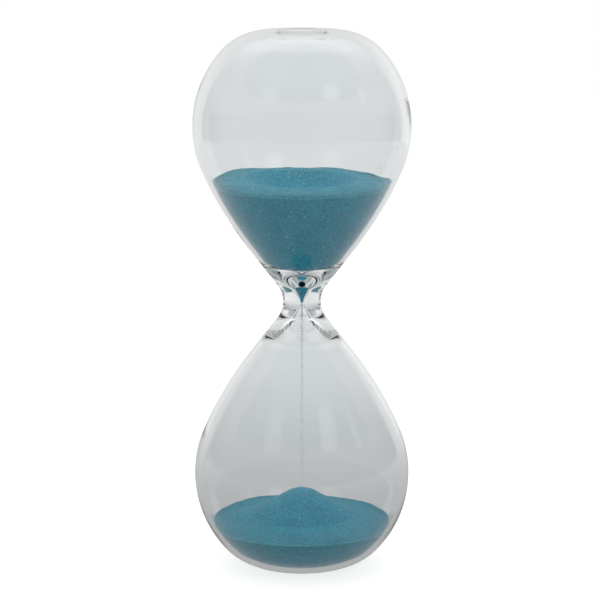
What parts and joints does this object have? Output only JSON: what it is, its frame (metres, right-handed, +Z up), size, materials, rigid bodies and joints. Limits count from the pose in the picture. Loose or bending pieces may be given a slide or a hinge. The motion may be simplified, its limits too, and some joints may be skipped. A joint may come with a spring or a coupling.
{
  "type": "hourglass",
  "caption": "Frameless clear glass hourglass with two blown bulbs fused at a thick neck, flat ends, and coloured sand running through.",
  "frame": {"origin": "centre of the lower flat end, on the surface that the hourglass stands on", "axes": "+Z up along the axis of both bulbs; the piece is round, so +X and +Y are free"},
  "size_m": [0.08, 0.08, 0.2],
  "materials": {
    "glass": "polished clear",
    "sand": "matte granular"
  },
  "bodies": {
    "glass": {"lower_bulb": "glass", "upper_bulb": "glass", "throat": "glass", "fill_port_seal": "glass", "upper_sand": "sand", "sand_stream": "sand", "lower_sand": "sand"},
    "sinking_core": {"sinking_sand": "sand"},
    "rising_heap": {"sand_mound": "sand"}
  },
  "joints": [
    {"name": "crater_sinks", "type": "slide", "parent": "glass", "child": "sinking_core", "axis": [0, 0, -1], "range_m": [0, 0.004], "deforming": ["upper_sand"]},
    {"name": "mound_rises", "type": "slide", "parent": "glass", "child": "rising_heap", "axis": [0, 0, 1], "range_m": [0, 0.004], "deforming": ["sand_stream", "lower_sand"]}
  ],
  "couplings": [
    {"joint": "mound_rises", "follows": "crater_sinks", "ratio": 1}
  ]
}
